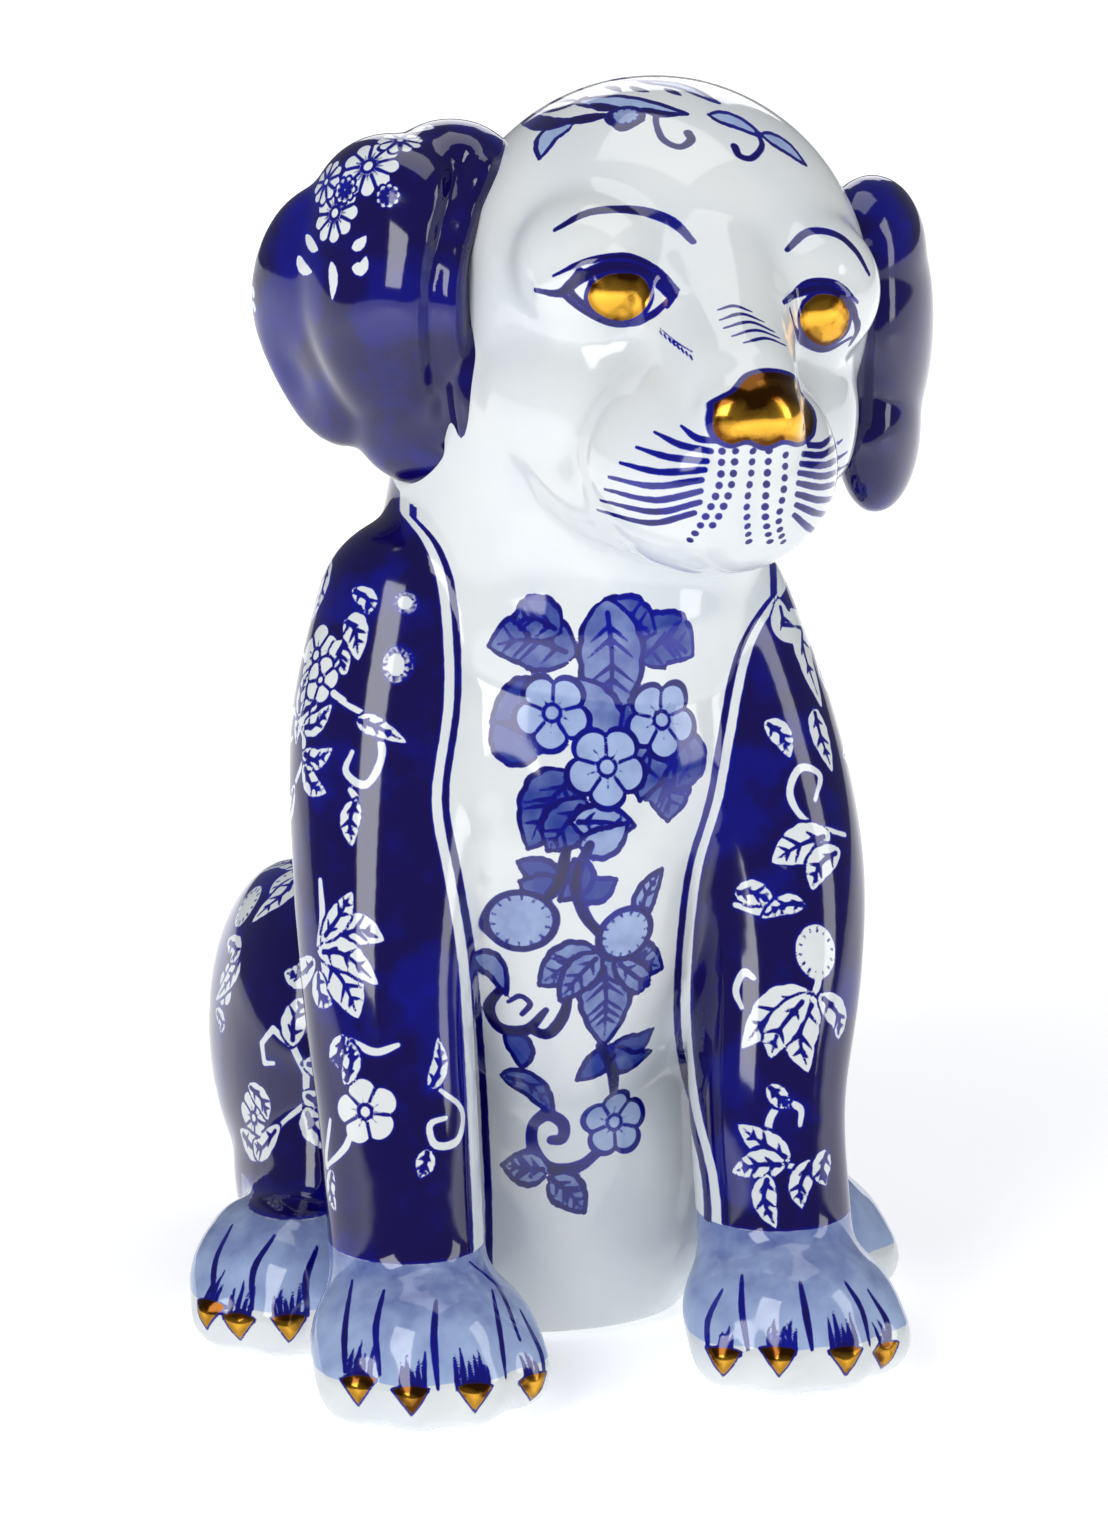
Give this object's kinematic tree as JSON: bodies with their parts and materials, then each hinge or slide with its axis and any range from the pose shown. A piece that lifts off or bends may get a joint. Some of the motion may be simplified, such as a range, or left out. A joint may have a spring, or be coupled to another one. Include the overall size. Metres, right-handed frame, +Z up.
{
  "type": "coin bank",
  "caption": "Seated porcelain puppy coin bank, blue-and-white glaze with gold lustre, coin slot in the crown and a rubber stopper in the base.",
  "frame": {"origin": "middle of the footprint, on the surface that the bank stands on", "axes": "+Z up, -Y is the way the puppy's chest and face look, +X is the puppy's left side"},
  "size_m": [0.1592, 0.1616, 0.2507],
  "materials": {
    "white_glaze": "gloss",
    "cobalt_glaze": "gloss",
    "stopper_rubber": "matte",
    "pad_rubber": "satin"
  },
  "bodies": {
    "bank": {"torso_casting": "white_glaze", "head_casting": "white_glaze", "ear_right": "cobalt_glaze", "ear_left": "cobalt_glaze", "pad_front_right": "pad_rubber", "pad_front_left": "pad_rubber", "pad_hind_right": "pad_rubber", "pad_hind_left": "pad_rubber"},
    "stopper": {"base_stopper": "stopper_rubber"}
  },
  "joints": [
    {"name": "stopper_pull", "type": "slide", "parent": "bank", "child": "stopper", "axis": [0, 0, -1], "range_m": [0, 0.03]}
  ]
}
